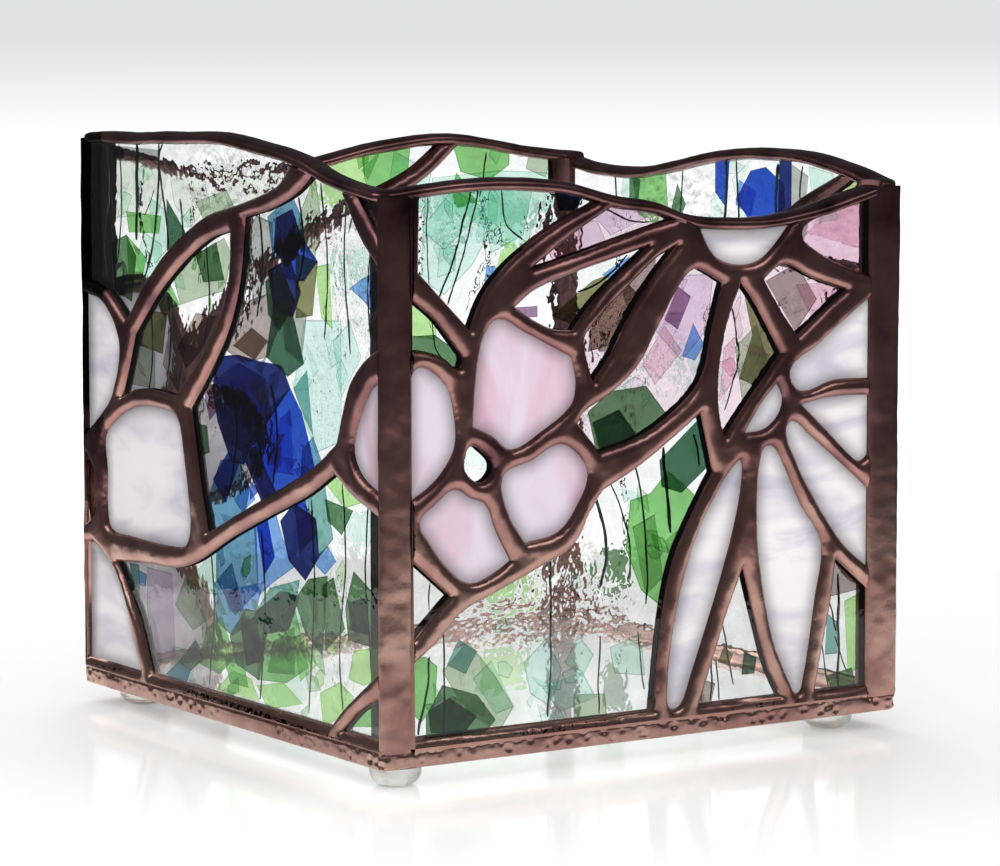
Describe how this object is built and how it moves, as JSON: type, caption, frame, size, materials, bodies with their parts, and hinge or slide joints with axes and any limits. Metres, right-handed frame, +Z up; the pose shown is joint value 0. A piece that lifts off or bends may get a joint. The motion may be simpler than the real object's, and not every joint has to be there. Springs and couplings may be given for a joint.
{
  "type": "stained glass candle holder",
  "caption": "Square open-top stained-glass candle holder: copper-foiled flower and daisy panels soldered edge to edge, wavy rim, glass base on bumper feet.",
  "frame": {"origin": "on the surface that the feet rest on, below the middle of the box", "axes": "+Z up; the front panel, with the whole daisy and flower, faces -Y; the left panel, with the blue shards, faces -X"},
  "size_m": [0.116, 0.112, 0.1149],
  "materials": {
    "copper_patina_solder": "tin-lead solder bead over copper foil, with a brown copper patina: satin, lumpy, brighter along the ridges",
    "clear_glass": "clear, lightly textured, glossy",
    "confetti_glass": "clear granite-textured sheet with fused shards of green and black threads",
    "blue_confetti_glass": "clear granite-textured sheet with fused shards of blue, green and grey",
    "white_opal_glass": "opalescent, glossy, faintly streaked with blue-grey",
    "pink_opal_glass": "opalescent, glossy, streaked with pink",
    "mauve_textured_glass": "transparent pink streaky sheet with a rippled granite texture",
    "clear_bumper": "clear soft polyurethane, smooth"
  },
  "bodies": {
    "root": {"front_sky": "confetti_glass", "front_bud": "confetti_glass", "flower_petal_1": "pink_opal_glass", "flower_petal_2": "pink_opal_glass", "flower_petal_3": "pink_opal_glass", "flower_petal_4": "pink_opal_glass", "flower_centre": "clear_glass", "front_wedge": "clear_glass", "front_ground": "confetti_glass", "leaf_pink": "mauve_textured_glass", "leaf_clear": "confetti_glass", "leaf_mauve": "mauve_textured_glass", "leaf_large": "mauve_textured_glass", "lozenge_olive": "mauve_textured_glass", "lozenge_mauve": "mauve_textured_glass", "half_moon": "white_opal_glass", "rim_corner_pink": "mauve_textured_glass", "daisy_petal_1": "white_opal_glass", "daisy_petal_2": "white_opal_glass", "daisy_petal_3": "white_opal_glass", "daisy_petal_4": "white_opal_glass", "daisy_petal_5": "white_opal_glass", "daisy_centre": "white_opal_glass", "stem_gap": "clear_glass", "front_corner_clear": "clear_glass", "left_sky": "confetti_glass", "left_petal_upper": "white_opal_glass", "left_fern": "confetti_glass", "left_petal_main": "white_opal_glass", "left_sliver": "clear_glass", "left_petal_lower": "white_opal_glass", "left_ground": "confetti_glass", "left_corner_green": "confetti_glass", "left_pool": "blue_confetti_glass", "left_rim_corner": "clear_glass", "left_petal_round": "pink_opal_glass", "back_sky": "confetti_glass", "back_glade": "confetti_glass", "back_petal_upper": "white_opal_glass", "back_petal_outer": "white_opal_glass", "back_petal_lower": "white_opal_glass", "right_rim_corner": "mauve_textured_glass", "right_sky": "confetti_glass", "right_petal_tips": "white_opal_glass", "front_seams": "copper_patina_solder", "left_seams": "copper_patina_solder", "back_seams": "copper_patina_solder", "right_seams": "copper_patina_solder", "corner_seam_front_left": "copper_patina_solder", "corner_seam_front_right": "copper_patina_solder", "corner_seam_back_left": "copper_patina_solder", "corner_seam_back_right": "copper_patina_solder", "rim_bead": "copper_patina_solder", "base_rail": "copper_patina_solder", "base_glass": "clear_glass", "bumper_feet": "clear_bumper"}
  },
  "joints": []
}
